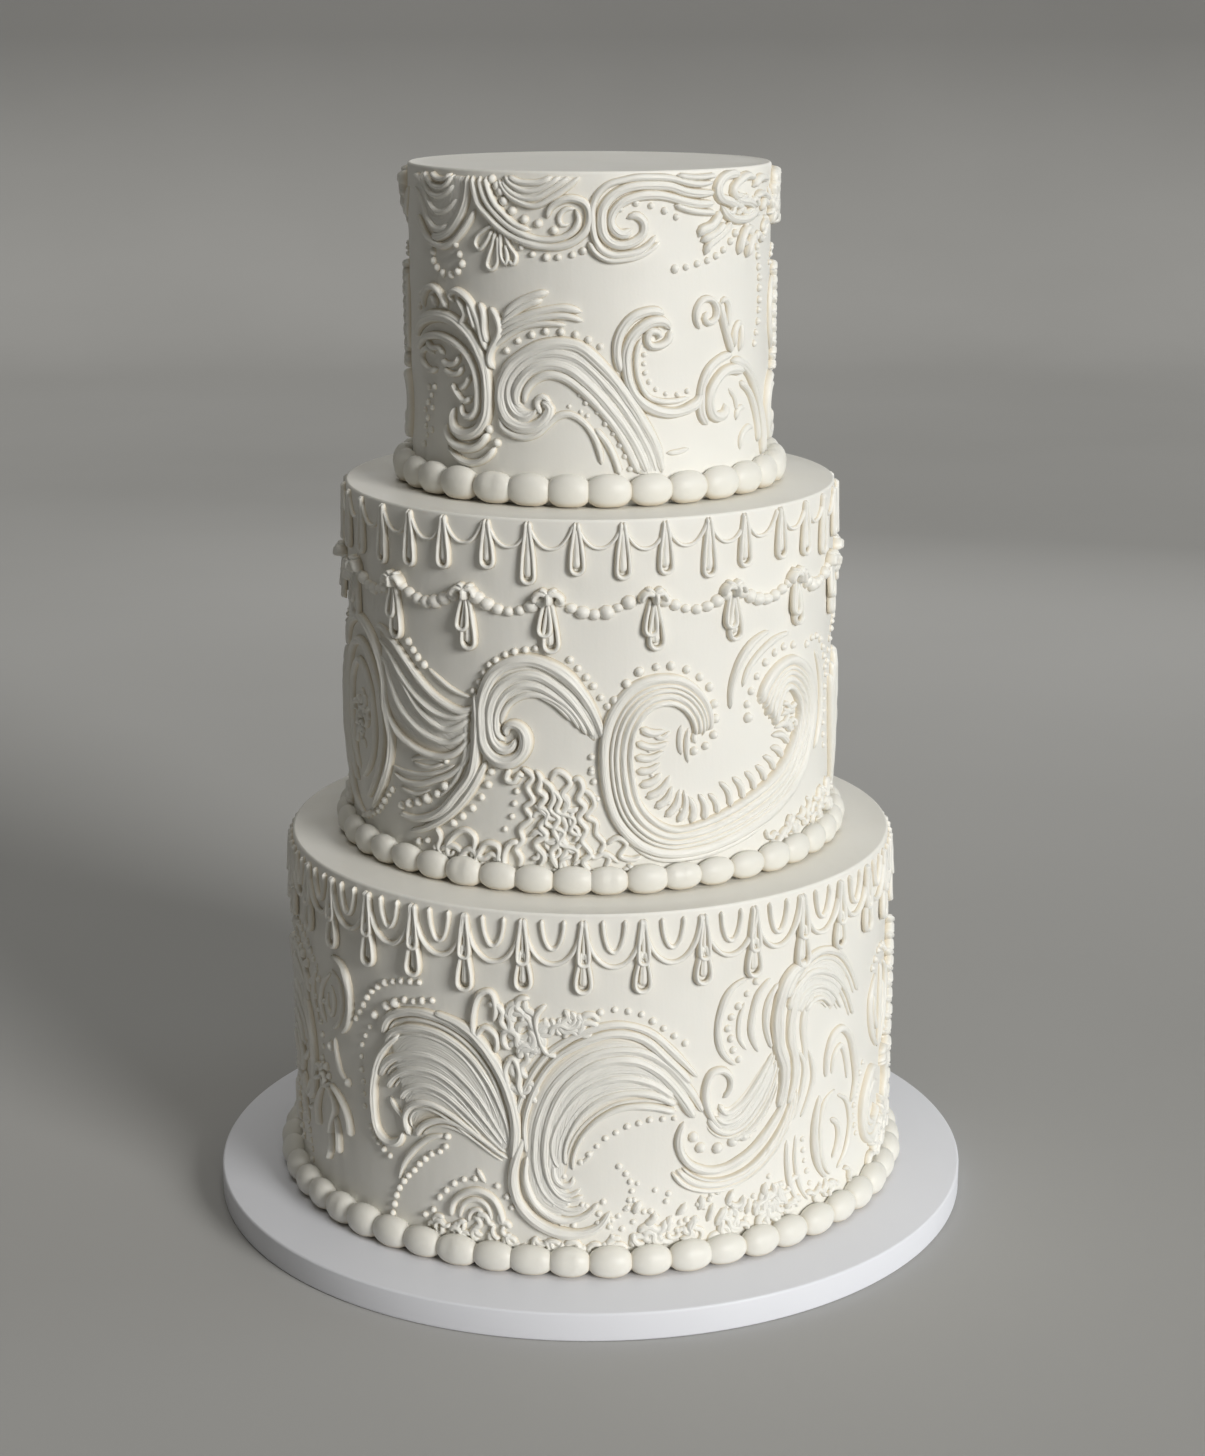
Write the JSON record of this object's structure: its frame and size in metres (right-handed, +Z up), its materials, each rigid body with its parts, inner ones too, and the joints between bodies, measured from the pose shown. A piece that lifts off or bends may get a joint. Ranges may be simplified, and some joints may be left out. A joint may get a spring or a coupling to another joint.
{
  "type": "wedding cake",
  "caption": "Round three-tier wedding cake on a thin board, with piped scrolls, hanging swags and drops, and beaded borders round the foot of each tier.",
  "frame": {"origin": "centre of the board's underside", "axes": "+Z up along the cake's axis, -Y towards the front that the picture shows, +X to its right"},
  "size_m": [0.324, 0.324, 0.4379],
  "materials": {
    "icing": "smooth satin ivory buttercream",
    "bead_icing": "soft satin ivory piped icing",
    "board_white": "smooth white covered board"
  },
  "bodies": {
    "root": {"board": "board_white", "tier_bottom": "icing", "tier_middle": "icing", "tier_top": "icing", "border_bottom": "bead_icing", "border_middle": "bead_icing", "border_top": "bead_icing"}
  },
  "joints": []
}
